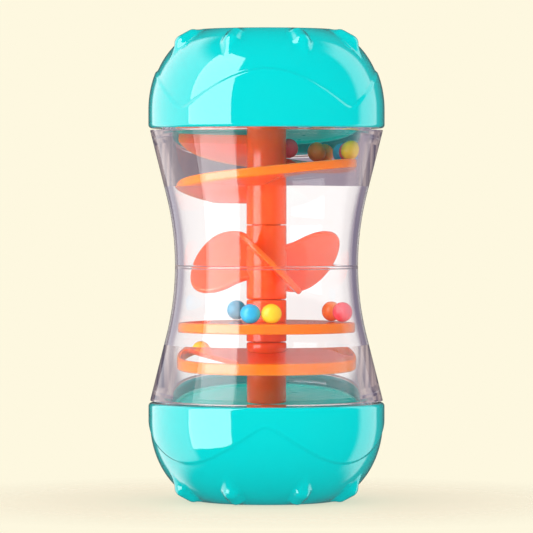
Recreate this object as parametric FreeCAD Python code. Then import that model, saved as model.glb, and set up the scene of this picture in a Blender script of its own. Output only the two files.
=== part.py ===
"""Rainstick toy: a clear hourglass chamber between two domed end caps, with loose beads inside.

The beads run down a spiral ramp, knock a three-bladed spinner round and drop through two
sieve discs, all threaded on one centre tube. The toy works either way up.

Millimetres, +Z up. The origin is at the centre of the face it stands on. Each half is
drawn in its own half frame, where u is the distance from the mid plane, and is then set
above or below that plane.
"""
import FreeCAD, Part
import math
import os

from FreeCAD import Matrix, Vector

# ---------------------------------------------------------------- driving dimensions
MID_Z = 94.2                  # mid plane; the toy is twice this tall
CAP_RADIUS = 47.2             # the raised band round each cap, the widest place
CAP_RIM_U = 55.4              # open edge of a cap
CAP_WALL = 2.4
BAND_STEP = 0.6               # how far the band stands out of the dome
BAND_LOW = 7.4                # band's height above the rim at its four valleys
BAND_HIGH = 22.4              # and at its four crests
NUB_COUNT = 8

WAIST_RADIUS = 36.6           # outside of the clear shell at the seam
WAIST_ARC = 115.0             # meridian arc of the waist
FLARE_SLOPE = 0.25            # radius gained per mm beyond that arc
SHELL_WALL = 2.4
SHELL_END_U = 54.1
BORE_RADIUS = 38.6            # straight bore near each end, which the end plate plugs
NECK_RADIUS = 42.0            # neck that the cap slides over
NECK_END_U = 59.6
NECK_GAP = 0.1                # between the neck and the cap's collar, and round a plate's spigot
LAP_LENGTH = 1.2              # lap joint between the two shells
LAP_GAP = 0.05

PLATE_GAP = 0.06              # weld seam between an end plate and the neck's end
FLOOR_U = NECK_END_U + PLATE_GAP      # chamber side of an end plate
PLATE_THICK = 2.4
SPIGOT_DEPTH = 1.0            # ring on the plate that centres it in the neck
SPIGOT_WIDTH = 1.8
BOSS_HEIGHT = 4.0             # boss behind the plate that holds the tube
TUBE_SOCKET = 2.0             # depth of the tube's socket in that boss

TUBE_RADIUS = 5.7
TUBE_BORE = 4.2
SLEEVE_RADIUS = 8.0
GLUE_GAP = 0.02
RUN_GAP = 0.08                # radial clearance of the spinner on the tube

RAMP_PITCH = 23.2
RAMP_THICK = 3.7
RAMP_RADIUS = 36.7
RAMP_EDGE = 0.9               # rounding of its outer edge
RAMP_START = 126.0            # azimuth of the low end, degrees
RAMP_END = 538.0              # azimuth of the high end
RAMP_MID_Z = 134.5            # top surface where the ramp passes azimuth 270
RAMP_BEND = 215.0             # below this azimuth the ramp grows steeper
RAMP_DROP = 0.0003            # how much, in mm per degree squared
RAMP_SLEEVE_Z = 110.7         # low end of the ramp's sleeve

HUB_LOW_Z = 80.6
HUB_HIGH_Z = 110.4
BLADE_COUNT = 3
BLADE_TURN = 273.4            # azimuth of the first blade
BLADE_PITCH = 45.0
BLADE_THICK = 2.2
BLADE_EDGE = 0.7              # rounding of its outline
BLADE_MID_Z = 95.5

DISC_1_TOP = 71.4
DISC_1_DEPTH = 4.1
DISC_1_RADIUS = 35.5
DISC_1_SLOTS = [180.0]        # azimuths of its drop slots
DISC_2_TOP = 55.3
DISC_2_DEPTH = 4.6
DISC_2_RADIUS = 36.7
DISC_2_SLOTS = [30.0, 210.0]
DISC_RIM = 1.7                # width of the deep rim round each disc
DISC_WEB = 1.8                # thickness of a disc inside its rim
DISC_EDGE = 0.8               # rounding of a disc's outer edges
SLOT_LIP = 0.5                # rounding of a slot's upper lip
SLOT_WIDTH = 10.8             # from the rim to the slot's straight side
SLOT_CORNER = 2.0
SPACER_1_TOP = 80.4           # top of the spacer between the upper disc and the spinner
GROOVE = (63.3, 63.6)         # gap between the two spacers under the upper disc
SEAT_GAP = 0.02               # between pieces stacked on the tube
EDGE_FINE = 0.1               # roundings of the sleeves' outer edges
EDGE_SMALL = 0.3
EDGE_SOFT = 0.5
EDGE_WIDE = 0.9

BEAD_RADIUS = 4.0
BEAD_GAP = 0.12

# beads: name, distance from the axis, azimuth in degrees
DISC_1_BEADS = [
    ("bead_blue_1", 31.4, 258.5),
    ("bead_yellow_1", 31.4, 273.4),
    ("bead_red_1", 30.4, 354.5),
    ("bead_orange_1", 28.1, 20.0),
    ("bead_blue_2", 31.4, 113.3),
]
DISC_2_BEADS = [("bead_yellow_2", 30.2, 152.4)]
RAMP_BEADS = [
    ("bead_yellow_3", 34.1, 353.5),
    ("bead_red_2", 34.1, 367.5),
    ("bead_blue_3", 34.1, 381.5),
    ("bead_orange_2", 34.1, 403.0),
    ("bead_orange_3", 25.0, 393.0),
    ("bead_red_3", 12.6, 404.0),
]

AXIS = Vector(0, 0, 1)
ORIGIN = Vector(0, 0, 0)


# ---------------------------------------------------------------- small helpers
def line(a, b):
    """A straight edge between two (radius, height) points of the XZ plane."""
    return Part.LineSegment(Vector(a[0], 0, a[1]), Vector(b[0], 0, b[1])).toShape()


def arc(a, b, c):
    """An arc through three (radius, height) points of the XZ plane."""
    return Part.Arc(*(Vector(p[0], 0, p[1]) for p in (a, b, c))).toShape()


def spin(edges):
    """The solid that a closed outline in the XZ plane makes when it turns about Z."""
    face = Part.Face(Part.Wire(Part.__sortEdges__(edges)))
    return face.revolve(ORIGIN, AXIS, 360)


def spin_points(points):
    """As spin, for an outline of straight lines."""
    return spin([line(a, b) for a, b in zip(points, points[1:] + points[:1])])


def cylinder(radius, low, high):
    return Part.makeCylinder(radius, high - low, Vector(0, 0, low))


def polar(radius, azimuth, z):
    turn = math.radians(azimuth)
    return Vector(radius * math.cos(turn), radius * math.sin(turn), z)


def turned(shape, azimuth):
    copy = shape.copy()
    copy.rotate(ORIGIN, AXIS, azimuth)
    return copy


def upper(shape):
    """Sets a shape drawn in the half frame above the mid plane."""
    copy = shape.copy()
    copy.translate(Vector(0, 0, MID_Z))
    return copy


def lower(shape):
    """Turns a shape drawn in the half frame over, about X, and sets it below the mid plane."""
    copy = shape.copy()
    copy.rotate(ORIGIN, Vector(1, 0, 0), 180)
    copy.translate(Vector(0, 0, MID_Z))
    return copy


def save(shape, name):
    solids = shape.Solids
    whole = solids[0] if len(solids) == 1 else Part.makeCompound(solids)
    if not whole.isValid():
        raise RuntimeError(f"{name} isn't valid")
    whole.exportStep(f"parts/{name}.step")
    print(f"{name:20s} {len(solids)} solid, {whole.Volume / 1000:.2f} cm3")


# ---------------------------------------------------------------- end caps
CAP_END_U = MID_Z
NUB_RADIUS = 3.4
NUB_PATH = [(37.4, 11.2), (35.9, 5.9), (31.6, 3.6)]      # distance from the axis, depth
DOME_FOOT_U = CAP_END_U - 32.0        # where the dome begins to curve
DOME_HEIGHT = 33.0                    # half height of its ellipse, cut flat at the end
DOME_CENTRE = 20.0                    # the ellipse's centre, out from the axis


def dome(skin, low):
    """A dome from u = low to the cap's end, standing skin mm out of the cap's own surface."""
    half_width = CAP_RADIUS - BAND_STEP - DOME_CENTRE + skin
    half_height = DOME_HEIGHT + skin
    top = min(CAP_END_U + skin, CAP_END_U)
    rise = top - DOME_FOOT_U

    def at(u):
        share = (u - DOME_FOOT_U) / half_height
        return (DOME_CENTRE + half_width * math.sqrt(1 - share * share), u)

    foot = (DOME_CENTRE + half_width, DOME_FOOT_U)
    heights = [DOME_FOOT_U + rise * share for share in (0, 0.2, 0.4, 0.58, 0.74, 0.87, 0.95, 1)]
    curve = Part.BSplineCurve()
    curve.interpolate([Vector(at(u)[0], 0, u) for u in heights],
                      InitialTangent=Vector(0, 0, 1),
                      FinalTangent=Vector(-half_width / half_height, 0, 0.33))
    edge_radius = at(top)[0]
    return spin([
        line((0, low), (foot[0], low)),
        line((foot[0], low), foot),
        curve.toShape(),
        line((edge_radius, top), (0, top)),
        line((0, top), (0, low)),
    ])


def wave(azimuth):
    """Height of the band's edge above the rim: four broad crests and four tight valleys."""
    blunt = 0.12
    share = math.sqrt(math.cos(math.radians(2 * azimuth)) ** 2 + blunt ** 2) - blunt
    return BAND_LOW + (BAND_HIGH - BAND_LOW) * share / (math.sqrt(1 + blunt ** 2) - blunt)


def wave_block():
    """Everything between the cap's rim and the band's wavy edge, as a solid."""
    reach, core, steps = 60.0, 30.0, 48      # outer and inner radius of its slanted top
    edge_radius = CAP_RADIUS - 1.5           # about where the band's edge meets the dome
    core_u = CAP_RIM_U + BAND_HIGH
    share = (reach - core) / (edge_radius - core)
    rim = []
    for step in range(steps):
        azimuth = 360.0 * step / steps
        u = core_u + (CAP_RIM_U + wave(azimuth) - core_u) * share
        rim.append(polar(reach, azimuth, u))
    edge = Part.BSplineCurve()
    edge.interpolate(rim, PeriodicFlag=True)
    outer = Part.Wire(edge.toShape())
    base_u = CAP_RIM_U - 30.0
    base = Part.Wire(Part.makeCircle(reach, Vector(0, 0, base_u)))
    inner = Part.Wire(Part.makeCircle(core, Vector(0, 0, core_u)))
    faces = [Part.Face(base), Part.Face(inner)]
    faces += Part.makeRuledSurface(base, outer).Faces
    faces += Part.makeRuledSurface(outer, inner).Faces
    block = Part.Solid(Part.makeShell(faces))
    if block.Volume < 0:
        block.reverse()
    return block


def nub():
    """One finger-like nub on the shoulder of the dome, at azimuth 0."""
    points = [Vector(r, 0, CAP_END_U - depth) for r, depth in NUB_PATH]
    pieces = [Part.makeSphere(NUB_RADIUS, p) for p in points]
    for a, b in zip(points, points[1:]):
        pieces.append(Part.makeCylinder(NUB_RADIUS, (b - a).Length, a, b - a))
    return pieces[0].fuse(pieces[1:]).removeSplitter()


def cap():
    """A hollow cap: dome, raised band, nubs and the collar that slides over the shell's neck."""
    skin = dome(0.0, CAP_RIM_U)
    band = dome(BAND_STEP, CAP_RIM_U).common(wave_block())
    nubs = [turned(nub(), 360.0 * (k + 0.5) / NUB_COUNT) for k in range(NUB_COUNT)]
    body = skin.fuse([band] + nubs)
    body = body.cut(dome(-CAP_WALL, NECK_END_U))
    return body.cut(cylinder(NECK_RADIUS + NECK_GAP, CAP_RIM_U - 1, NECK_END_U + 0.01))


# ---------------------------------------------------------------- clear shell
def waist_point(offset, angle):
    """A point on the waist's arc, offset mm inside the outer surface, at an angle in degrees."""
    radius = WAIST_ARC + offset
    turn = math.radians(angle)
    return (WAIST_RADIUS + WAIST_ARC - radius * math.cos(turn), radius * math.sin(turn))


def shell_half(lap_outside):
    """One clear shell in the half frame. Its lap ring is its outer or its inner half wall."""
    flare = math.degrees(math.atan(FLARE_SLOPE))
    corner = 0.6
    out_0, out_1, out_2 = (waist_point(0, flare * share) for share in (0, 0.5, 1))
    in_0, in_1, in_2 = (waist_point(SHELL_WALL, flare * share) for share in (0, 0.5, 1))
    end_radius = out_2[0] + FLARE_SLOPE * (SHELL_END_U - corner - out_2[1])
    bore_u = in_2[1] + (BORE_RADIUS - in_2[0]) / FLARE_SLOPE
    body = spin([
        arc(out_0, out_1, out_2),
        line(out_2, (end_radius, SHELL_END_U - corner)),
        line((end_radius, SHELL_END_U - corner), (end_radius - corner, SHELL_END_U)),
        line((end_radius - corner, SHELL_END_U), (NECK_RADIUS, SHELL_END_U)),
        line((NECK_RADIUS, SHELL_END_U), (NECK_RADIUS, NECK_END_U)),
        line((NECK_RADIUS, NECK_END_U), (BORE_RADIUS, NECK_END_U)),
        line((BORE_RADIUS, NECK_END_U), (BORE_RADIUS, bore_u)),
        line((BORE_RADIUS, bore_u), in_2),
        arc(in_2, in_1, in_0),
        line(in_0, out_0),
    ])
    split = WAIST_RADIUS - SHELL_WALL / 2
    if lap_outside:
        return body.cut(cylinder(split + LAP_GAP, -1, LAP_LENGTH + LAP_GAP))
    root = 0.3                # how far the lap ring reaches into the wall it grows from
    ring = spin_points([
        (split - LAP_GAP, root),
        (split - LAP_GAP, -LAP_LENGTH),
        (WAIST_RADIUS - SHELL_WALL, -LAP_LENGTH),
        (WAIST_RADIUS - SHELL_WALL, root),
    ])
    return body.fuse(ring).removeSplitter()


# ---------------------------------------------------------------- end plates and centre tube
def end_plate():
    """The disc that shuts the chamber, with a boss that holds one end of the centre tube."""
    spigot = BORE_RADIUS - NECK_GAP
    back = FLOOR_U + PLATE_THICK
    body = spin_points([
        (0, FLOOR_U),
        (spigot - SPIGOT_WIDTH, FLOOR_U),
        (spigot - SPIGOT_WIDTH, FLOOR_U - SPIGOT_DEPTH),
        (spigot, FLOOR_U - SPIGOT_DEPTH),
        (spigot, FLOOR_U),
        (NECK_RADIUS, FLOOR_U),
        (NECK_RADIUS, back),
        (SLEEVE_RADIUS, back),
        (SLEEVE_RADIUS, back + BOSS_HEIGHT),
        (0, back + BOSS_HEIGHT),
    ])
    return body.cut(cylinder(TUBE_RADIUS + GLUE_GAP, FLOOR_U - 1, back + TUBE_SOCKET))


def centre_tube():
    reach = FLOOR_U + PLATE_THICK + TUBE_SOCKET - NECK_GAP
    tube = cylinder(TUBE_RADIUS, MID_Z - reach, MID_Z + reach)
    return tube.cut(cylinder(TUBE_BORE, MID_Z - reach - 1, MID_Z + reach + 1))


# ---------------------------------------------------------------- pieces on the tube
def sleeve(low, high, bore, low_edge, high_edge):
    """A sleeve that fits the tube, with rounded outer edges."""
    outer = SLEEVE_RADIUS
    slant = 1 - math.sqrt(0.5)
    return spin([
        line((bore, low), (outer - low_edge, low)),
        arc((outer - low_edge, low), (outer - low_edge * slant, low + low_edge * slant),
            (outer, low + low_edge)),
        line((outer, low + low_edge), (outer, high - high_edge)),
        arc((outer, high - high_edge), (outer - high_edge * slant, high - high_edge * slant),
            (outer - high_edge, high)),
        line((outer - high_edge, high), (bore, high)),
        line((bore, high), (bore, low)),
    ])


def ramp_z(azimuth):
    """Height of the ramp's top surface: an even pitch that grows steeper towards the low end."""
    even = RAMP_MID_Z + RAMP_PITCH * (azimuth - 270.0) / 360.0
    return even - RAMP_DROP * max(0.0, RAMP_BEND - azimuth) ** 2


def ramp_section():
    """The ramp's section at azimuth 0, its top surface at height 0."""
    inner, outer, edge = SLEEVE_RADIUS - 1.0, RAMP_RADIUS, RAMP_EDGE
    slant = edge * (1 - math.sqrt(0.5))
    return Part.Wire([
        line((inner, 0), (outer - edge, 0)),
        arc((outer - edge, 0), (outer - slant, -slant), (outer, -edge)),
        line((outer, -edge), (outer, edge - RAMP_THICK)),
        arc((outer, edge - RAMP_THICK), (outer - slant, slant - RAMP_THICK),
            (outer - edge, -RAMP_THICK)),
        line((outer - edge, -RAMP_THICK), (inner, -RAMP_THICK)),
        line((inner, -RAMP_THICK), (inner, 0)),
    ])


def spiral_ramp():
    """The ramp, swept round the axis by a section that stays upright, on its sleeve."""
    middle, steps = RAMP_RADIUS / 2, 60
    azimuths = [RAMP_START + (RAMP_END - RAMP_START) * k / steps for k in range(steps + 1)]
    path = Part.BSplineCurve()
    path.interpolate([polar(middle, azimuth, ramp_z(azimuth)) for azimuth in azimuths])
    section = turned(ramp_section(), RAMP_START)
    section.translate(Vector(0, 0, ramp_z(RAMP_START)))
    sweep = Part.BRepOffsetAPI.MakePipeShell(Part.Wire(path.toShape()))
    sweep.setBiNormalMode(AXIS)
    sweep.add(section)
    sweep.build()
    sweep.makeSolid()
    ceiling = MID_Z + FLOOR_U
    ramp = sweep.shape().cut(cylinder(SLEEVE_RADIUS - 0.5, RAMP_SLEEVE_Z, ceiling))
    column = sleeve(RAMP_SLEEVE_Z, ceiling - SEAT_GAP, TUBE_RADIUS + GLUE_GAP,
                    EDGE_SMALL, EDGE_SMALL)
    return column.fuse(ramp).removeSplitter()


def blade():
    """One oval blade in its own plane: X runs out from the axis, Y along the blade's chord."""
    half = [(0.0, 7.6), (4.0, 9.0), (8.0, 10.8), (13.5, 14.9), (20.5, 17.0),
            (27.5, 14.8), (31.8, 8.2), (33.2, 0.0)]
    outline = half + [(x, -y) for x, y in reversed(half[:-1])]
    curve = Part.BSplineCurve()
    curve.interpolate([Vector(x, y, -BLADE_THICK / 2) for x, y in outline])
    root = Part.LineSegment(curve.EndPoint, curve.StartPoint).toShape()
    face = Part.Face(Part.Wire([curve.toShape(), root]))
    solid = face.extrude(Vector(0, 0, BLADE_THICK))
    rounds = [e for e in solid.Edges if e.Length > 60]
    return solid.makeFillet(BLADE_EDGE, rounds)


def spinner():
    """The hub and its blades, pitched like a propeller's."""
    pitch = math.radians(BLADE_PITCH)
    hub = sleeve(HUB_LOW_Z, HUB_HIGH_Z, TUBE_RADIUS + RUN_GAP, EDGE_WIDE, EDGE_SMALL)
    blades = []
    for k in range(BLADE_COUNT):
        turn = math.radians(BLADE_TURN + 360.0 * k / BLADE_COUNT)
        out = Vector(math.cos(turn), math.sin(turn), 0)
        chord = Vector(math.sin(turn) * math.cos(pitch), -math.cos(turn) * math.cos(pitch),
                       math.sin(pitch))
        normal = out.cross(chord)
        placed = blade()
        placed.transformShape(Matrix(
            out.x, chord.x, normal.x, 0,
            out.y, chord.y, normal.y, 0,
            out.z, chord.z, normal.z, BLADE_MID_Z,
            0, 0, 0, 1))
        blades.append(placed)
    whole = hub.fuse(blades)
    return whole.cut(cylinder(TUBE_RADIUS + RUN_GAP, HUB_LOW_Z - 5, HUB_HIGH_Z + 5))


def drop_slot(disc_radius, azimuth, low, high):
    """The room of one drop slot: the disc's edge beyond a chord, inside its rim."""
    reach = disc_radius - DISC_RIM
    chord = reach - SLOT_WIDTH
    half = math.degrees(math.acos(chord / reach))
    start, end = polar(reach, azimuth - half, low), polar(reach, azimuth + half, low)
    edge = Part.Arc(start, polar(reach, azimuth, low), end).toShape()
    chord_edge = Part.LineSegment(end, start).toShape()
    room = Part.Face(Part.Wire([edge, chord_edge])).extrude(Vector(0, 0, high - low))
    corners = [e for e in room.Edges if abs(e.Length - (high - low)) < 1e-6]
    return room.makeFillet(SLOT_CORNER, corners)


def sieve_disc(top, depth, radius, slots):
    """A thin disc with a deep rim and boss, whose slots let the beads drop through."""
    edge, low, web_low = DISC_EDGE, top - depth, top - DISC_WEB
    slant = edge * (1 - math.sqrt(0.5))
    bore = TUBE_RADIUS + GLUE_GAP
    plate = spin([
        line((bore, top), (radius - edge, top)),
        arc((radius - edge, top), (radius - slant, top - slant), (radius, top - edge)),
        line((radius, top - edge), (radius, low + edge)),
        arc((radius, low + edge), (radius - slant, low + slant), (radius - edge, low)),
        line((radius - edge, low), (radius - DISC_RIM, low)),
        line((radius - DISC_RIM, low), (radius - DISC_RIM, web_low)),
        line((radius - DISC_RIM, web_low), (SLEEVE_RADIUS, web_low)),
        line((SLEEVE_RADIUS, web_low), (SLEEVE_RADIUS, low)),
        line((SLEEVE_RADIUS, low), (bore, low)),
        line((bore, low), (bore, top)),
    ])
    for azimuth in slots:
        plate = plate.cut(drop_slot(radius, azimuth, low - 1, top + 1))
    inside = radius - DISC_RIM + 0.01
    lips = [e for e in plate.Edges
            if all(abs(v.Z - top) < 1e-6 and math.hypot(v.X, v.Y) < inside for v in e.Vertexes)
            and e.BoundBox.ZLength < 1e-6 and len(e.Vertexes) == 2]
    return plate.makeFillet(SLOT_LIP, lips)


# ---------------------------------------------------------------- beads
def bead(radius, azimuth, z):
    return Part.makeSphere(BEAD_RADIUS, polar(radius, azimuth, z))


def ramp_rest_z(radius, azimuth):
    """Height of a bead's centre when it rests on the ramp."""
    slope = RAMP_PITCH / (2 * math.pi * radius)
    return ramp_z(azimuth) + BEAD_RADIUS * math.sqrt(1 + slope * slope) + BEAD_GAP


def main():
    os.makedirs("parts", exist_ok=True)
    one_cap = cap()
    save(upper(one_cap), "top_cap")
    save(lower(turned(one_cap, 45)), "bottom_cap")
    save(upper(shell_half(False)), "upper_shell")
    save(lower(shell_half(True)), "lower_shell")
    plate = end_plate()
    save(upper(plate), "top_end_plate")
    save(lower(plate), "bottom_end_plate")
    save(centre_tube(), "centre_tube")
    save(spiral_ramp(), "spiral_ramp")
    save(spinner(), "spinner")
    bore = TUBE_RADIUS + GLUE_GAP
    disc_1_low, disc_2_low = DISC_1_TOP - DISC_1_DEPTH, DISC_2_TOP - DISC_2_DEPTH
    save(sleeve(DISC_1_TOP + SEAT_GAP, SPACER_1_TOP, bore, EDGE_FINE, EDGE_WIDE),
         "spinner_spacer")
    save(sieve_disc(DISC_1_TOP, DISC_1_DEPTH, DISC_1_RADIUS, DISC_1_SLOTS), "upper_sieve_disc")
    save(sleeve(GROOVE[1], disc_1_low - SEAT_GAP, bore, EDGE_SOFT, EDGE_FINE),
         "upper_disc_collar")
    save(sleeve(DISC_2_TOP + SEAT_GAP, GROOVE[0], bore, EDGE_FINE, EDGE_WIDE),
         "lower_disc_collar")
    save(sieve_disc(DISC_2_TOP, DISC_2_DEPTH, DISC_2_RADIUS, DISC_2_SLOTS), "lower_sieve_disc")
    save(sleeve(MID_Z - FLOOR_U + SEAT_GAP, disc_2_low - SEAT_GAP, bore, EDGE_FINE, EDGE_FINE),
         "bottom_sleeve")
    for name, radius, azimuth in DISC_1_BEADS:
        save(bead(radius, azimuth, DISC_1_TOP + BEAD_RADIUS + BEAD_GAP), name)
    for name, radius, azimuth in DISC_2_BEADS:
        save(bead(radius, azimuth, DISC_2_TOP + BEAD_RADIUS + BEAD_GAP), name)
    for name, radius, azimuth in RAMP_BEADS:
        save(bead(radius, azimuth, ramp_rest_z(radius, azimuth)), name)


main()
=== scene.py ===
"""Looks for the rainstick toy: glossy caps, clear shells, moulded orange works and round beads.

Shapes are worked out in millimetres. Each half of the toy is drawn in a half frame, where u is
the distance from the mid plane, and is then set above or below that plane.
"""
import math

import bpy
import numpy as np
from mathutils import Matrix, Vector


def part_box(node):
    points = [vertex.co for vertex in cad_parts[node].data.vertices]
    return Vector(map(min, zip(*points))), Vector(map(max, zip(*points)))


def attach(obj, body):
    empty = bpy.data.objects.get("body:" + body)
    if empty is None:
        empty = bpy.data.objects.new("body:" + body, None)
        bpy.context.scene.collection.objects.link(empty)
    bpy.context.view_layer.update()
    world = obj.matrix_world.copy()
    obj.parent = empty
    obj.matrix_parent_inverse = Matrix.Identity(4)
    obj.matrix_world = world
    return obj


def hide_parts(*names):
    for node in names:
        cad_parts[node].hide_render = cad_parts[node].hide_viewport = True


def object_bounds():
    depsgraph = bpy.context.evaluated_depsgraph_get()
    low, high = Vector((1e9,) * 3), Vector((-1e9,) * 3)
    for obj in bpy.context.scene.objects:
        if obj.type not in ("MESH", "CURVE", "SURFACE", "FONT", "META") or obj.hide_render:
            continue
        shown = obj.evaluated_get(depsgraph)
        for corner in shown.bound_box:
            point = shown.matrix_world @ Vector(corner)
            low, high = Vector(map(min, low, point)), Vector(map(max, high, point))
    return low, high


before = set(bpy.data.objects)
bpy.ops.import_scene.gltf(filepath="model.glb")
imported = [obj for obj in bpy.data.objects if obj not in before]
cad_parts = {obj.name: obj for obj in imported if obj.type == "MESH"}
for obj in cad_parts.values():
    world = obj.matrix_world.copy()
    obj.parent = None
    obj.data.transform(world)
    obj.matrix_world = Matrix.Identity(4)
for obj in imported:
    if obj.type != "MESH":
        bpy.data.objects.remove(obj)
cad_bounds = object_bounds()

MM = 0.001
MID_Z = cad_bounds[1][2] / MM / 2


def span(node, axis):
    """Lowest and highest coordinate of a CAD node along one axis, in millimetres."""
    low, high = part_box(node)
    return low[axis] / MM, high[axis] / MM


# ---------------------------------------------------------------- cap sizes
CAP_RADIUS = (cad_bounds[1][0] - cad_bounds[0][0]) / MM / 2
CAP_RIM_U = span("top_cap", 2)[0] - MID_Z
CAP_END_U = MID_Z
CAP_WALL = 2.4
RIM_ROUND = 0.8
COLLAR_GAP = 0.1              # between the cap's collar and the shell's neck
COLLAR_CHAMFER = 0.3

BAND_STEP = 0.6               # how far the wavy band stands out
BAND_LOW = 7.3                # height of its edge above the rim, in a valley
BAND_HIGH = 22.0              # and on a peak
BAND_SOFT = 0.75              # half the width over which that edge rises
WAVE_BLUNT = 0.12             # how round the valleys are

DOME_WALL = CAP_RADIUS - BAND_STEP
DOME_DEPTH = 32.0             # from the cap's end down to the dome's foot
DOME_HEIGHT = 33.0            # of the ellipse that the dome's outline follows
DOME_CENTRE = 20.0            # radius at which that ellipse has its centre

NUB_COUNT = 8
# distance from the axis, depth below the cap's end, radius
NUB_PATH = [(25.0, 3.7, 2.7), (31.4, 3.8, 3.6), (35.6, 6.0, 3.6), (38.6, 12.0, 1.8)]
NUB_BLEND = 1.5               # how softly a nub runs into the dome
NUB_TALLEST = 5.0             # most that the surface is raised
NUB_STEP = 0.1                # step of the search for the raised surface
NUB_DEPTH = 18.0              # the nubs lie within this depth of the cap's end
NUB_INNER_RADIUS = 18.0       # and outside this radius

CAP_AROUND = 720
RIM_STEPS, WALL_STEPS, DOME_STEPS, INNER_STEPS = 6, 11, 120, 24
END_SHARES = (0.985, 0.96, 0.92, 0.86, 0.78, 0.66, 0.5, 0.3, 0.1)   # rings on the flat end
INNER_END_RADII = (3.0, 12.0)
INNER_END_MARGIN = 3.0

# ---------------------------------------------------------------- shell sizes
NECK_END_U = span("upper_shell", 2)[1] - MID_Z
NECK_RADIUS = 42.0
WAIST_RADIUS = 36.6
WAIST_ARC = 115.0             # radius of the waist's curve
FLARE_SLOPE = 0.25            # of the straight part that follows it
SHELL_WALL = 2.4
SHELL_END_U = 54.1            # where the shell steps in to its neck
BORE_RADIUS = 38.6
LAP_LENGTH = 1.2
LAP_GAP = 0.05
LAP_CLEAR = 0.2               # least height of the inner curve above the lap
SHELL_ROUND = 0.35
SHELL_AROUND = 360
WAIST_STEPS = 40

# ---------------------------------------------------------------- bead sizes
BEAD_PARTING = 0.03           # height of the parting line
PARTING_WIDTH = 0.035         # its half width, in radians
BEAD_RINGS, BEAD_AROUND = 48, 64


# ---------------------------------------------------------------- mesh helpers
def upper(points):
    """From the half frame to the toy's frame, above the mid plane."""
    placed = np.array(points, float)
    placed[:, 2] += MID_Z
    return placed


def lower(points):
    """From the half frame to the toy's frame, turned over about X, below the mid plane."""
    placed = np.array(points, float)
    placed[:, 1] *= -1
    placed[:, 2] = MID_Z - placed[:, 2]
    return placed


def turn(points, azimuth):
    """Points turned about Z by an angle in degrees."""
    c, s = math.cos(math.radians(azimuth)), math.sin(math.radians(azimuth))
    moved = np.array(points, float)
    moved[:, 0] = c * points[:, 0] - s * points[:, 1]
    moved[:, 1] = s * points[:, 0] + c * points[:, 1]
    return moved


def add_mesh(name, points, faces, crease=38.0):
    """A smooth-shaded object from millimetre points, with edges sharper than crease kept sharp."""
    mesh = bpy.data.meshes.new(name)
    mesh.from_pydata((np.array(points) * MM).tolist(), [], faces)
    mesh.validate()
    mesh.shade_smooth()
    mesh.set_sharp_from_angle(angle=math.radians(crease))
    obj = bpy.data.objects.new(name, mesh)
    bpy.context.scene.collection.objects.link(obj)
    return obj


def bridge(a, b, around):
    """Quads between the rings of points that start at indices a and b."""
    return [(a + j, a + (j + 1) % around, b + (j + 1) % around, b + j) for j in range(around)]


def ring_faces(rings, around, closed_profile=False, start=0):
    """Quads between rings of points laid out ring by ring from index start."""
    faces = []
    for i in range(rings if closed_profile else rings - 1):
        faces += bridge(start + i * around, start + (i + 1) % rings * around, around)
    return faces


def fan_faces(ring, around, pole, upward):
    """Triangles from the ring that starts at one index to the pole at another."""
    faces = []
    for j in range(around):
        k = (j + 1) % around
        faces.append((ring + j, ring + k, pole) if upward else (ring + k, ring + j, pole))
    return faces


def lathe_grid(profile, around):
    """Points of a profile of (radius, height) turned about Z, ring by ring."""
    angles = np.linspace(0, 2 * math.pi, around, endpoint=False)
    profile = np.array(profile)
    r, z = profile[:, 0][:, None], profile[:, 1][:, None]
    return np.stack([r * np.cos(angles), r * np.sin(angles), z + 0 * angles], -1).reshape(-1, 3)


def rounded(corners, radius, steps=4, least_bend=12.0, side_share=1 / 2.2):
    """A closed outline with each corner that bends by least_bend degrees or more rounded.

    A corner's rounding takes up side_share of the sides beside it at most.
    """
    points = []
    count = len(corners)
    for i in range(count):
        here = Vector(corners[i])
        before, after = Vector(corners[i - 1]) - here, Vector(corners[(i + 1) % count]) - here
        bend = math.pi - before.angle(after)
        if bend < math.radians(least_bend):
            points.append(tuple(here))
            continue
        reach = min(radius * math.tan(bend / 2), before.length * side_share,
                    after.length * side_share)
        start, end = here + before.normalized() * reach, here + after.normalized() * reach
        for k in range(steps + 1):
            t = k / steps
            point = start * (1 - t) ** 2 + here * 2 * t * (1 - t) + end * t * t
            points.append(tuple(point))
    return points


def steadied(points, near=0.1, long=1.5):
    """Adds points near both ends of an outline's long sides, so that their shading stays even."""
    out = []
    for a, b in zip(points, points[1:] + points[:1]):
        out.append(a)
        start, end = Vector(a), Vector(b)
        if (end - start).length > long:
            step = (end - start).normalized() * near
            out += [tuple(start + step), tuple(end - step)]
    return out


# ---------------------------------------------------------------- caps
def wave(azimuth):
    """Height of the band's edge above the rim, at azimuths in radians."""
    share = np.sqrt(np.cos(2 * azimuth) ** 2 + WAVE_BLUNT ** 2) - WAVE_BLUNT
    full = math.sqrt(1 + WAVE_BLUNT ** 2) - WAVE_BLUNT
    return BAND_LOW + (BAND_HIGH - BAND_LOW) * share / full


def band_offset(u, azimuth, radius):
    """How far the band stands out of the dome: its full step below the wave, nothing above."""
    step = 0.01
    slope = (wave(azimuth + step) - wave(azimuth - step)) / (2 * step * radius)
    distance = (u - CAP_RIM_U - wave(azimuth)) / np.sqrt(1 + slope ** 2)
    share = np.clip(0.5 - distance / (2 * BAND_SOFT), 0, 1)
    return BAND_STEP * share * share * (3 - 2 * share)


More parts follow.
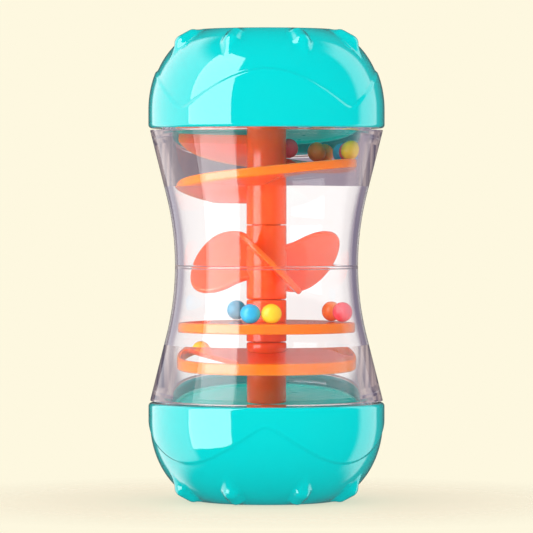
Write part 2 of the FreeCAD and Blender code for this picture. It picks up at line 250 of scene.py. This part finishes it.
def nub_distance(points):
    """Signed distance to the nearest nub, roughly, for points in the half frame."""
    radius = np.hypot(points[..., 0], points[..., 1])
    sector = 2 * math.pi / NUB_COUNT
    azimuth = np.mod(np.arctan2(points[..., 1], points[..., 0]), sector) - sector / 2
    local = np.stack([radius * np.cos(azimuth), radius * np.sin(azimuth), points[..., 2]], -1)
    nearest = np.full(radius.shape, np.inf)
    for (r0, d0, s0), (r1, d1, s1) in zip(NUB_PATH, NUB_PATH[1:]):
        a, b = np.array([r0, 0, CAP_END_U - d0]), np.array([r1, 0, CAP_END_U - d1])
        share = np.clip(((local - a) @ (b - a)) / ((b - a) @ (b - a)), 0, 1)
        foot = a + share[..., None] * (b - a)
        gap = np.linalg.norm(local - foot, axis=-1) - (s0 + (s1 - s0) * share)
        nearest = np.minimum(nearest, gap)
    return nearest


def raise_nubs(points, normals):
    """Moves points out along their normals to where the nubs' blended surface is."""
    lift = np.zeros(len(points))
    inside = None
    for t in np.arange(0, NUB_TALLEST, NUB_STEP):
        gap = nub_distance(points + normals * t)
        mix = np.clip(0.5 + 0.5 * (gap - t) / NUB_BLEND, 0, 1)
        blended = gap * (1 - mix) + t * mix - NUB_BLEND * mix * (1 - mix)
        if inside is not None:
            leaves = (inside <= 0) & (blended > 0)
            share = np.divide(-inside, blended - inside, out=np.zeros_like(gap), where=leaves)
            lift = np.where(leaves, t - NUB_STEP + NUB_STEP * share, lift)
        inside = blended
    return points + normals * lift[:, None]


def dome(inset, angles):
    """Points on the dome's outline, inset mm inside its outer surface."""
    foot_u = CAP_END_U - DOME_DEPTH
    return [(DOME_CENTRE + (DOME_WALL - DOME_CENTRE - inset) * math.cos(a),
             foot_u + (DOME_HEIGHT - inset) * math.sin(a)) for a in angles]


def dome_top(inset):
    """The angle at which that outline meets the cap's flat end."""
    return math.asin((DOME_DEPTH - inset) / (DOME_HEIGHT - inset))


def cap_outside():
    """The outer outline without band and nubs, from the rim to near the axis."""
    foot_u = CAP_END_U - DOME_DEPTH
    outline = [(DOME_WALL - RIM_ROUND + RIM_ROUND * math.sin(a),
                CAP_RIM_U + RIM_ROUND * (1 - math.cos(a)))
               for a in np.linspace(0, math.pi / 2, RIM_STEPS)]
    outline += [(DOME_WALL, u)
                for u in np.linspace(CAP_RIM_U + RIM_ROUND, foot_u, WALL_STEPS)[1:]]
    outline += dome(0, np.linspace(0, dome_top(0), DOME_STEPS)[1:])
    edge = outline[-1][0]
    return outline + [(edge * share, CAP_END_U) for share in END_SHARES]


def cap_inside():
    """The inner outline, from near the axis to the rim, with the collar for the neck."""
    edge = dome(0, [dome_top(0)])[0][0]
    ceiling_u = CAP_END_U - CAP_WALL
    outline = [(radius, ceiling_u) for radius in (*INNER_END_RADII, edge - INNER_END_MARGIN)]
    outline += dome(CAP_WALL, np.linspace(dome_top(CAP_WALL), 0, INNER_STEPS)[1:])
    collar = NECK_RADIUS + COLLAR_GAP
    return outline + [(DOME_WALL - CAP_WALL, NECK_END_U), (collar, NECK_END_U),
                      (collar, CAP_RIM_U + COLLAR_CHAMFER), (collar + COLLAR_CHAMFER, CAP_RIM_U)]


def cap_mesh(name, place):
    """A whole cap: outside with its band and nubs, rim, and a plain inside."""
    outside, inside = np.array(cap_outside()), cap_inside()
    tangent = np.gradient(outside, axis=0)
    normal = np.stack([tangent[:, 1], -tangent[:, 0]], -1)
    normal /= np.linalg.norm(normal, axis=1)[:, None]
    angles = np.tile(np.linspace(0, 2 * math.pi, CAP_AROUND, endpoint=False), len(outside))
    out, up = np.repeat(normal[:, 0], CAP_AROUND), np.repeat(normal[:, 1], CAP_AROUND)
    normals = np.stack([out * np.cos(angles), out * np.sin(angles), up], -1)

    grid = lathe_grid(outside, CAP_AROUND)
    radius = np.hypot(grid[:, 0], grid[:, 1])
    offset = band_offset(grid[:, 2], angles, np.maximum(radius, DOME_CENTRE))
    grid += normals * offset[:, None]
    near = (grid[:, 2] > CAP_END_U - NUB_DEPTH) & (radius > NUB_INNER_RADIUS)
    grid[near] = raise_nubs(grid[near], normals[near])
    grid[:, 2] = np.minimum(grid[:, 2], CAP_END_U)

    poles = [[0, 0, CAP_END_U], [0, 0, CAP_END_U - CAP_WALL]]
    points = np.concatenate([grid, lathe_grid(inside, CAP_AROUND), poles])
    top, ceiling = len(points) - 2, len(points) - 1
    start = len(outside) * CAP_AROUND
    last = start + (len(inside) - 1) * CAP_AROUND
    faces = ring_faces(len(outside), CAP_AROUND)
    faces += ring_faces(len(inside), CAP_AROUND, start=start)
    faces += bridge(last, 0, CAP_AROUND)
    faces += fan_faces(start - CAP_AROUND, CAP_AROUND, top, True)
    faces += fan_faces(start, CAP_AROUND, ceiling, False)
    return add_mesh(name, place(points), faces, crease=50.0)


def lower_cap_place(points):
    """Where the bottom cap goes: it's the top cap turned over and an eighth of a turn round."""
    return lower(turn(points, 45))


# ---------------------------------------------------------------- clear shells
def waist_point(offset, angle):
    """A point on the waist's curve, offset mm inside the outer surface, angle in degrees."""
    radius = WAIST_ARC + offset
    return (WAIST_RADIUS + WAIST_ARC - radius * math.cos(math.radians(angle)),
            radius * math.sin(math.radians(angle)))


def shell_profile(lap_outside):
    """The closed outline of one shell in the half frame."""
    flare = math.degrees(math.atan(FLARE_SLOPE))
    angles = np.linspace(0, flare, WAIST_STEPS)
    out_end = waist_point(0, flare)
    end_radius = out_end[0] + FLARE_SLOPE * (SHELL_END_U - out_end[1])
    in_end = waist_point(SHELL_WALL, flare)
    bore_u = in_end[1] + (BORE_RADIUS - in_end[0]) / FLARE_SLOPE
    outer = [waist_point(0, a) for a in angles[1:]]
    inner = [waist_point(SHELL_WALL, a) for a in angles[::-1][:-1]]
    neck = [
        (end_radius, SHELL_END_U),
        (NECK_RADIUS, SHELL_END_U),
        (NECK_RADIUS, NECK_END_U),
        (BORE_RADIUS, NECK_END_U),
        (BORE_RADIUS, bore_u),
    ]
    split = WAIST_RADIUS - SHELL_WALL / 2
    inside_waist = WAIST_RADIUS - SHELL_WALL
    if lap_outside:
        lap_u = LAP_LENGTH + LAP_GAP
        foot = [(inside_waist, lap_u), (split + LAP_GAP, lap_u), (split + LAP_GAP, 0),
                (WAIST_RADIUS, 0)]
        inner = [p for p in inner if p[1] > lap_u + LAP_CLEAR]
    else:
        foot = [(inside_waist, -LAP_LENGTH), (split - LAP_GAP, -LAP_LENGTH), (split - LAP_GAP, 0),
                (WAIST_RADIUS, 0)]
    return outer + neck + inner + foot


def shell_mesh(name, place, lap_outside):
    """One clear shell, with its half of the lap joint at the waist."""
    profile = steadied(rounded(shell_profile(lap_outside), SHELL_ROUND))
    grid = lathe_grid(profile, SHELL_AROUND)
    faces = ring_faces(len(profile), SHELL_AROUND, closed_profile=True)
    return add_mesh(name, place(grid), faces, crease=35.0)


# ---------------------------------------------------------------- beads
def bead_mesh(name, centre, radius, axis):
    """A bead with the fine parting line of a moulded ball, square to its axis."""
    core = radius - BEAD_PARTING
    profile = []
    for k in range(1, BEAD_RINGS):
        angle = math.pi * k / BEAD_RINGS
        ridge = BEAD_PARTING * math.exp(-((angle - math.pi / 2) / PARTING_WIDTH) ** 2)
        profile.append(((core + ridge) * math.sin(angle), -(core + ridge) * math.cos(angle)))
    grid = np.concatenate([lathe_grid(profile, BEAD_AROUND), [[0, 0, -core], [0, 0, core]]])
    faces = ring_faces(BEAD_RINGS - 1, BEAD_AROUND)
    faces += fan_faces(0, BEAD_AROUND, len(grid) - 2, False)
    faces += fan_faces((BEAD_RINGS - 2) * BEAD_AROUND, BEAD_AROUND, len(grid) - 1, True)
    tilt = Vector((0, 0, 1)).rotation_difference(axis).to_matrix()
    turned = grid @ np.array(tilt).T + np.array(centre)
    return add_mesh(name, turned, faces)


# ---------------------------------------------------------------- materials
# painted light: beyond these radii the ramp and disc rims get a lighter, yellower orange that
# stands in for light glowing through their thin edges
RIM_GLOW_START, RIM_GLOW_END = 31.0, 36.0      # the thin outer rims of the ramp and discs look lighter
# painted light: colours of the pale and dark streaked glow that ends rays caught in the shells'
# thick walls
PAINTED_DARK_STREAK, PAINTED_PALE_STREAK = (0.16, 0.14, 0.21, 1), (0.70, 0.58, 0.54, 1)
PAINTED_STREAK_SHAPE = (1, 1, 0.12)          # drawn out along Z
PLASTIC_IOR = 1.5


def new_material(name):
    """A new material with its nodes, its links and its main shader."""
    material = bpy.data.materials.new(name)
    material.use_nodes = True
    nodes = material.node_tree.nodes
    return material, nodes, material.node_tree.links, nodes["Principled BSDF"]


def pick(nodes, links, factor, first, second):
    """Mixes two colours, each a socket or a plain colour."""
    mix = nodes.new("ShaderNodeMix")
    mix.data_type = "RGBA"
    links.new(factor, mix.inputs["Factor"])
    for name, colour in (("A", first), ("B", second)):
        if isinstance(colour, tuple):
            mix.inputs[name].default_value = colour
        else:
            links.new(colour, mix.inputs[name])
    return mix.outputs["Result"]


def calculate(nodes, links, operation, first, second=None):
    """A Math node on sockets or plain numbers."""
    node = nodes.new("ShaderNodeMath")
    node.operation = operation
    for k, value in enumerate((first, second)):
        if isinstance(value, (int, float)):
            node.inputs[k].default_value = value
        elif value is not None:
            links.new(value, node.inputs[k])
    return node.outputs["Value"]


def scaled(nodes, links, vector, scale):
    """A vector socket scaled by its own factor along each axis."""
    node = nodes.new("ShaderNodeVectorMath")
    node.operation = "MULTIPLY"
    node.inputs[1].default_value = scale
    links.new(vector, node.inputs[0])
    return node.outputs["Vector"]


def length_of(nodes, links, vector):
    """The length of a vector socket."""
    node = nodes.new("ShaderNodeVectorMath")
    node.operation = "LENGTH"
    links.new(vector, node.inputs[0])
    return node.outputs["Value"]


def noise(nodes, links, vector, scale, detail):
    """Noise between 0 and 1 at a vector socket."""
    node = nodes.new("ShaderNodeTexNoise")
    node.inputs["Scale"].default_value = scale
    node.inputs["Detail"].default_value = detail
    links.new(vector, node.inputs["Vector"])
    return node.outputs["Fac"]


def remap(nodes, links, value, start, end, low=0.0, high=1.0, smooth=False):
    """Maps start..end onto low..high and holds the value there beyond either end."""
    node = nodes.new("ShaderNodeMapRange")
    if smooth:
        node.interpolation_type = "SMOOTHSTEP"
    for name, number in (("From Min", start), ("From Max", end), ("To Min", low), ("To Max", high)):
        node.inputs[name].default_value = number
    links.new(value, node.inputs["Value"])
    return node.outputs["Result"]


def roughen(nodes, links, shader, height, strength, distance):
    """Bumps a shader's surface by a height socket."""
    bump = nodes.new("ShaderNodeBump")
    bump.inputs["Strength"].default_value = strength
    bump.inputs["Distance"].default_value = distance
    links.new(height, bump.inputs["Height"])
    links.new(bump.outputs["Normal"], shader.inputs["Normal"])


def blend(nodes, links, factor, first, second):
    """Mixes two shaders."""
    mix = nodes.new("ShaderNodeMixShader")
    links.new(factor, mix.inputs["Fac"])
    links.new(first, mix.inputs[1])
    links.new(second, mix.inputs[2])
    return mix.outputs["Shader"]


# this share places the painted rim glow, a lighter orange standing in for light through the thin
# rims
def rim_glow_share(nodes, links, place):
    """How far out from the toy's axis a point is: 0 inside RIM_GLOW_START, 1 beyond RIM_GLOW_END."""
    flat = scaled(nodes, links, place, (1, 1, 0))
    return remap(nodes, links, length_of(nodes, links, flat), RIM_GLOW_START * MM, RIM_GLOW_END * MM,
                 smooth=True)


def moulded(name, colour, roughness, subsurface=0.0, glow=(1.0, 0.45, 0.2), coat=0.0, spread=0.06,
            rim_glow_colour=None, painted_glow=0.0):
    """Glossy moulded plastic: faint colour drift, uneven gloss, a fine orange-peel surface, and
    optional painted light: a lighter rim colour and an even glow.
    """
    material, nodes, links, shader = new_material(name)
    place = nodes.new("ShaderNodeTexCoord").outputs["Object"]

    drift = noise(nodes, links, place, scale=28.0, detail=3.0)
    tinted = pick(nodes, links, drift, (*[c * (1 - spread) for c in colour], 1),
                  (*[min(1.0, c * (1 + spread)) for c in colour], 1))
    # painted light: far from the axis the colour turns to a lighter, yellower orange that stands in
    # for light glowing through the thin rims
    if rim_glow_colour:
        tinted = pick(nodes, links, rim_glow_share(nodes, links, place), tinted, (*rim_glow_colour, 1))
    links.new(tinted, shader.inputs["Base Color"])

    gloss = noise(nodes, links, place, scale=160.0, detail=5.0)
    gloss = remap(nodes, links, gloss, 0.3, 0.7, low=roughness * 0.75, high=roughness * 1.35)
    links.new(gloss, shader.inputs["Roughness"])
    peel = noise(nodes, links, place, scale=900.0, detail=2.0)
    roughen(nodes, links, shader, peel, strength=0.12, distance=0.00004)

    shader.inputs["IOR"].default_value = PLASTIC_IOR
    shader.inputs["Coat Weight"].default_value = coat
    shader.inputs["Coat Roughness"].default_value = 0.04
    shader.inputs["Subsurface Weight"].default_value = subsurface
    shader.inputs["Subsurface Radius"].default_value = glow
    shader.inputs["Subsurface Scale"].default_value = 0.0025
    # painted light: an even glow in the plastic's own colour, though it is no lamp
    shader.inputs["Emission Color"].default_value = (*colour, 1)
    shader.inputs["Emission Strength"].default_value = painted_glow
    return material


def clear_plastic(name):
    """Clear polished plastic with a faint lavender cast; lamps shine through it, and rays mirrored
    twice end in painted pale and dark streaked light.
    """
    material, nodes, links, shader = new_material(name)
    place = nodes.new("ShaderNodeTexCoord").outputs["Object"]
    shader.inputs["Base Color"].default_value = (0.985, 0.98, 0.99, 1)
    shader.inputs["Transmission Weight"].default_value = 1.0
    shader.inputs["IOR"].default_value = PLASTIC_IOR
    smear = noise(nodes, links, place, scale=45.0, detail=4.0)
    links.new(remap(nodes, links, smear, 0.45, 0.8, high=0.03), shader.inputs["Roughness"])
    flow = noise(nodes, links, place, scale=60.0, detail=1.0)
    roughen(nodes, links, shader, flow, strength=0.15, distance=0.00005)

    inside = nodes.new("ShaderNodeVolumeAbsorption")
    inside.inputs["Color"].default_value = (0.62, 0.5, 0.6, 1)
    inside.inputs["Density"].default_value = 20.0
    links.new(inside.outputs["Volume"], nodes["Material Output"].inputs["Volume"])

    # painted light: once a ray has been mirrored twice, as inside the thick wall, its path ends in
    # an emission of pale and dark streaked colour that stands in for the light caught there
    drawn_out = scaled(nodes, links, place, PAINTED_STREAK_SHAPE)
    painted_streaks = noise(nodes, links, drawn_out, scale=160.0, detail=2.0)
    painted_streaks = remap(nodes, links, painted_streaks, 0.34, 0.66)
    painted_caught_light = nodes.new("ShaderNodeEmission")
    links.new(pick(nodes, links, painted_streaks, PAINTED_DARK_STREAK, PAINTED_PALE_STREAK), painted_caught_light.inputs["Color"])
    path = nodes.new("ShaderNodeLightPath")
    bounced = calculate(nodes, links, "GREATER_THAN", path.outputs["Glossy Depth"], 1.5)
    seen = blend(nodes, links, bounced, shader.outputs["BSDF"], painted_caught_light.outputs["Emission"])

    through = nodes.new("ShaderNodeBsdfTransparent")
    through.inputs["Color"].default_value = (0.99, 0.985, 0.99, 1)
    surface = blend(nodes, links, path.outputs["Is Shadow Ray"], seen, through.outputs["BSDF"])
    links.new(surface, nodes["Material Output"].inputs["Surface"])
    return material


def dress(obj, material):
    """Gives an object one material in place of its own."""
    obj.data.materials.clear()
    obj.data.materials.append(material)


# ---------------------------------------------------------------- build the pieces
teal = moulded("teal_plastic", (0.0, 0.475, 0.47), roughness=0.05, subsurface=0.3,
               glow=(0.2, 1.0, 1.0), coat=1.0, spread=0.02)
# painted light: the end plates' teal glows faintly, which brightens them inside the shells
glowing_plate_teal = moulded("glowing_plate_teal", (0.0, 0.7, 0.62), roughness=0.35, subsurface=0.3,
                     glow=(0.2, 1.0, 1.0), spread=0.02, painted_glow=0.15)
# the orange's lighter rim colour is painted light for the glow through its thin rims
orange = moulded("orange_plastic", (0.97, 0.12, 0.02), roughness=0.12, subsurface=0.7, coat=0.6,
                 rim_glow_colour=(0.98, 0.23, 0.012))
clear = clear_plastic("clear_plastic")
BEAD_COLOURS = {
    "yellow": (0.98, 0.68, 0.03),
    "blue": (0.03, 0.50, 0.80),
    "red": (0.97, 0.12, 0.16),
    "orange": (0.97, 0.30, 0.06),
}
bead_materials = {
    colour: moulded(f"bead_{colour}", value, roughness=0.16, subsurface=0.08, coat=0.2)
    for colour, value in BEAD_COLOURS.items()
}

for name, node, place in (("top_cap_body", "top_cap", upper),
                          ("bottom_cap_body", "bottom_cap", lower_cap_place)):
    piece = cap_mesh(name, place)
    dress(piece, teal)
    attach(piece, "body")
    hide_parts(node)

for name, node, place, lap_outside in (("upper_shell_clear", "upper_shell", upper, False),
                                       ("lower_shell_clear", "lower_shell", lower, True)):
    piece = shell_mesh(name, place, lap_outside)
    dress(piece, clear)
    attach(piece, "body")
    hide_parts(node)

for node in ("top_end_plate", "bottom_end_plate"):
    dress(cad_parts[node], glowing_plate_teal)
for node in ("centre_tube", "spiral_ramp", "spinner", "spinner_spacer", "upper_sieve_disc",
             "upper_disc_collar", "lower_disc_collar", "lower_sieve_disc", "bottom_sleeve"):
    dress(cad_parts[node], orange)

rng = np.random.default_rng(7)
for node in sorted(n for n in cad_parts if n.startswith("bead_")):
    low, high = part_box(node)
    centre = [(a + b) / 2 / MM for a, b in zip(low, high)]
    radius = (high[2] - low[2]) / 2 / MM
    axis = Vector(rng.normal(size=3)).normalized()
    piece = bead_mesh(f"{node}_ball", centre, radius, axis)
    colour = node.split("_")[1]
    dress(piece, bead_materials[colour])
    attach(piece, node)
    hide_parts(node)


# ---------------------------------------------------------------- floor, light and camera
CREAM = (0.991, 0.939, 0.745)
BOUNCE = (1.0, 1.3, 1.4, 1)           # the floor's glow as it lights the toy
FLOOR_RINGS = (30.0, 60.0, 120.0, 200.0, 320.0)
FLOOR_Z = -0.02                       # just below the toy
FLOOR_AROUND = 96
FADE_START, FADE_END = 0.05, 0.17     # metres from the toy's axis over which the floor fades out


def make_floor():
    """A round pale floor that fades into the background round its edge."""
    profile = [(radius, FLOOR_Z) for radius in FLOOR_RINGS]
    grid = np.concatenate([lathe_grid(profile, FLOOR_AROUND), [[0, 0, FLOOR_Z]]])
    faces = ring_faces(len(profile), FLOOR_AROUND)
    faces += fan_faces(0, FLOOR_AROUND, len(grid) - 1, True)
    floor = add_mesh("floor", grid, faces)
    material, nodes, links, shader = new_material("pale_floor")
    shader.inputs["Base Color"].default_value = (0.27, 0.21, 0.15, 1)
    shader.inputs["Roughness"].default_value = 0.6
    shader.inputs["Specular IOR Level"].default_value = 0.2
    path = nodes.new("ShaderNodeLightPath")
    glow = pick(nodes, links, path.outputs["Diffuse Depth"], (*CREAM, 1), BOUNCE)
    links.new(glow, shader.inputs["Emission Color"])
    shader.inputs["Emission Strength"].default_value = 0.58
    place = nodes.new("ShaderNodeTexCoord").outputs["Object"]
    fade = remap(nodes, links, length_of(nodes, links, place), FADE_START, FADE_END, smooth=True)
    nothing = nodes.new("ShaderNodeBsdfTransparent")
    surface = blend(nodes, links, fade, shader.outputs["BSDF"], nothing.outputs["BSDF"])
    links.new(surface, nodes["Material Output"].inputs["Surface"])
    dress(floor, material)
    floor.visible_glossy = False


# The studio's walls as the clear shells show them, at azimuths from the camera's side towards +X
# in degrees. Seen straight through, the front wall is pale; in the shells' own inner reflections
# it's dark in the middle, as a studio is on the camera's side.
WHITE, DIM, SIDE = (1.12, 1.10, 1.05), (0.30, 0.26, 0.36), (0.70, 0.67, 0.72)
FRONT, MIDDLE = (1.0, 0.98, 0.95), (0.05, 0.05, 0.05)
NEAR_LEFT, NEAR_RIGHT = (1.0, 1.0, 1.0), (2.8, 2.8, 2.8)
FAR_STOPS = [(115, SIDE), (132, DIM), (161, DIM), (168, WHITE), (180, WHITE)]
WALL_STOPS = [(0, FRONT), (40, FRONT)] + FAR_STOPS
LEFT_EDGE_STOPS = [(0, MIDDLE), (10, MIDDLE), (20, NEAR_LEFT), (80, NEAR_LEFT)] + FAR_STOPS
RIGHT_EDGE_STOPS = [(0, MIDDLE), (10, MIDDLE), (28, NEAR_RIGHT), (104, NEAR_RIGHT)] + FAR_STOPS
HIGH_LEFT, HIGH_MIDDLE, HIGH_RIGHT = (0.20, 0.17, 0.20), (0.30, 0.26, 0.30), (0.40, 0.34, 0.40)
HIGH_STOPS = [(-180, HIGH_MIDDLE), (-179, HIGH_LEFT), (-90, HIGH_LEFT), (90, HIGH_RIGHT),
              (179, HIGH_RIGHT), (180, HIGH_MIDDLE)]
HIGH_START, HIGH_END = 8.0, 10.5      # elevations between which the walls turn to HIGH_STOPS
INNER_GLOSS = (0.42, 0.28, 0.25, 1)   # what the pieces inside the shells mirror

# how bright the studio is where the plastics mirror it
GLOSS_STOPS = [(-180, 0.08), (-152, 0.08), (-147, 1.35), (-84, 1.35), (-78, 0.04), (100, 0.04),
               (107, 1.0), (134, 1.0), (138, 0.08), (180, 0.08)]
STEEP_GLOSS = (0.05, 0.05, 0.05, 1)
UP_START, UP_END = 42.0, 56.0         # elevations between which it darkens overhead
DOWN_START, DOWN_END = 27.0, 42.0     # and below
AMBIENT = (1.3, 1.3, 1.3, 1)          # what lights the matt side of every surface


def joined(left, right):
    """One list of stops from a left and a right side that meet at azimuth 0."""
    return [(-degrees, colour) for degrees, colour in left[:0:-1]] + right


def azimuth_ramp(nodes, links, share, stops):
    """A colour that depends on the azimuth, through the given stops."""
    ramp = nodes.new("ShaderNodeValToRGB")
    links.new(share, ramp.inputs["Fac"])
    elements = ramp.color_ramp.elements
    elements.remove(elements[-1])
    for k, (degrees, colour) in enumerate(stops):
        place = (degrees + 180) / 360
        element = elements[0] if k == 0 else elements.new(place)
        element.position = place
        element.color = (*colour, 1)
    return ramp.outputs["Color"]


def rise(nodes, links, sine, start, end):
    """0 below one elevation and 1 above another, in degrees, from the elevation's sine."""
    return remap(nodes, links, sine, math.sin(math.radians(start)), math.sin(math.radians(end)),
                 smooth=True)


def make_world():
    """Cream behind the toy. Through its shells a white wall shows, darker higher up."""
    world = bpy.data.worlds.new("studio")
    bpy.context.scene.world = world
    world.use_nodes = True
    nodes, links = world.node_tree.nodes, world.node_tree.links
    nodes.clear()
    place = nodes.new("ShaderNodeTexCoord")
    split = nodes.new("ShaderNodeSeparateXYZ")
    links.new(place.outputs["Generated"], split.inputs["Vector"])
    forward = calculate(nodes, links, "MULTIPLY", split.outputs["Y"], -1.0)
    azimuth = calculate(nodes, links, "ARCTAN2", split.outputs["X"], forward)
    share = remap(nodes, links, azimuth, -math.pi, math.pi)

    high = rise(nodes, links, split.outputs["Z"], HIGH_START, HIGH_END)
    wall = azimuth_ramp(nodes, links, share, joined(WALL_STOPS, WALL_STOPS))
    high_wall = azimuth_ramp(nodes, links, share, HIGH_STOPS)
    wall = pick(nodes, links, high, wall, high_wall)
    edge = azimuth_ramp(nodes, links, share, joined(LEFT_EDGE_STOPS, RIGHT_EDGE_STOPS))
    edge = pick(nodes, links, high, edge, high_wall)
    gloss = azimuth_ramp(nodes, links, share, [(at, (value,) * 3) for at, value in GLOSS_STOPS])
    down = calculate(nodes, links, "MULTIPLY", split.outputs["Z"], -1.0)
    steep = calculate(nodes, links, "MAXIMUM",
                      rise(nodes, links, split.outputs["Z"], UP_START, UP_END),
                      rise(nodes, links, down, DOWN_START, DOWN_END))
    gloss = pick(nodes, links, steep, gloss, STEEP_GLOSS)

    path = nodes.new("ShaderNodeLightPath")
    through = path.outputs["Transmission Depth"]   # clear surfaces passed on the way
    reflection = pick(nodes, links, calculate(nodes, links, "MINIMUM", through, 1.0), gloss, edge)
    inner = calculate(nodes, links, "GREATER_THAN", through, 2.5)
    reflection = pick(nodes, links, inner, reflection, INNER_GLOSS)
    colour = pick(nodes, links, path.outputs["Glossy Depth"], wall, reflection)
    colour = pick(nodes, links, path.outputs["Diffuse Depth"], colour, AMBIENT)
    colour = pick(nodes, links, path.outputs["Is Camera Ray"], colour, (*CREAM, 1))
    studio = nodes.new("ShaderNodeBackground")
    links.new(colour, studio.inputs["Color"])
    output = nodes.new("ShaderNodeOutputWorld")
    links.new(studio.outputs["Background"], output.inputs["Surface"])


def softbox(name, azimuth, distance, width, low, high, radiance):
    """An upright area light, its azimuth measured from the camera's side towards +X."""
    light = bpy.data.lights.new(name, "AREA")
    light.shape = "RECTANGLE"
    light.size, light.size_y = width, high - low
    light.energy = radiance * width * (high - low) * math.pi
    obj = bpy.data.objects.new(name, light)
    turn_by = math.radians(azimuth)
    spot = Vector((distance * math.sin(turn_by), -distance * math.cos(turn_by), (low + high) / 2))
    obj.location = spot
    aim = Vector((0, 0, spot.z)) - spot
    obj.rotation_euler = aim.to_track_quat("-Z", "Y").to_euler()
    bpy.context.scene.collection.objects.link(obj)
    return obj


def overhead(name, height, size, radiance):
    """A square area light above the toy that lights it without showing in its gloss."""
    light = bpy.data.lights.new(name, "AREA")
    light.size = size
    light.energy = radiance * size * size * math.pi
    obj = bpy.data.objects.new(name, light)
    obj.location = (0, -0.1, height)      # a little to the camera's side
    obj.visible_glossy = False
    bpy.context.scene.collection.objects.link(obj)


def make_camera():
    """A long lens a little under two metres away, level with the upper part of the toy."""
    eye_height, distance, aim_height = 0.12274, 1.842, 0.09374
    view_width, sensor_width = 0.2132, 36.0
    camera = bpy.data.cameras.new("camera")
    obj = bpy.data.objects.new("camera", camera)
    obj.location = (0, -distance, eye_height)
    aim = Vector((0, 0, aim_height)) - obj.location
    obj.rotation_euler = aim.to_track_quat("-Z", "Y").to_euler()
    camera.sensor_width = sensor_width
    camera.lens = sensor_width * aim.length / view_width
    camera.clip_end = 20.0
    bpy.context.scene.collection.objects.link(obj)
    bpy.context.scene.camera = obj


make_floor()
make_world()
# the softbox that shows in the gloss, and the fills that light the toy without showing there
key = softbox("left_softbox", azimuth=-57, distance=1.0, width=0.85, low=-0.42, high=2.0,
              radiance=3.8)
key.visible_diffuse = False
for name, azimuth, radiance in (("left_fill", -57, 2.0), ("front_fill", -5, 1.15),
                                ("right_fill", 65, 1.4), ("back_fill", 180, 1.0)):
    fill = softbox(name, azimuth, distance=1.8, width=1.4, low=-0.8, high=1.1, radiance=radiance)
    fill.visible_glossy = False
    fill.visible_transmission = False
overhead("top_light", height=1.6, size=1.2, radiance=0.5)
make_camera()
bpy.context.scene.view_settings.view_transform = "Standard"
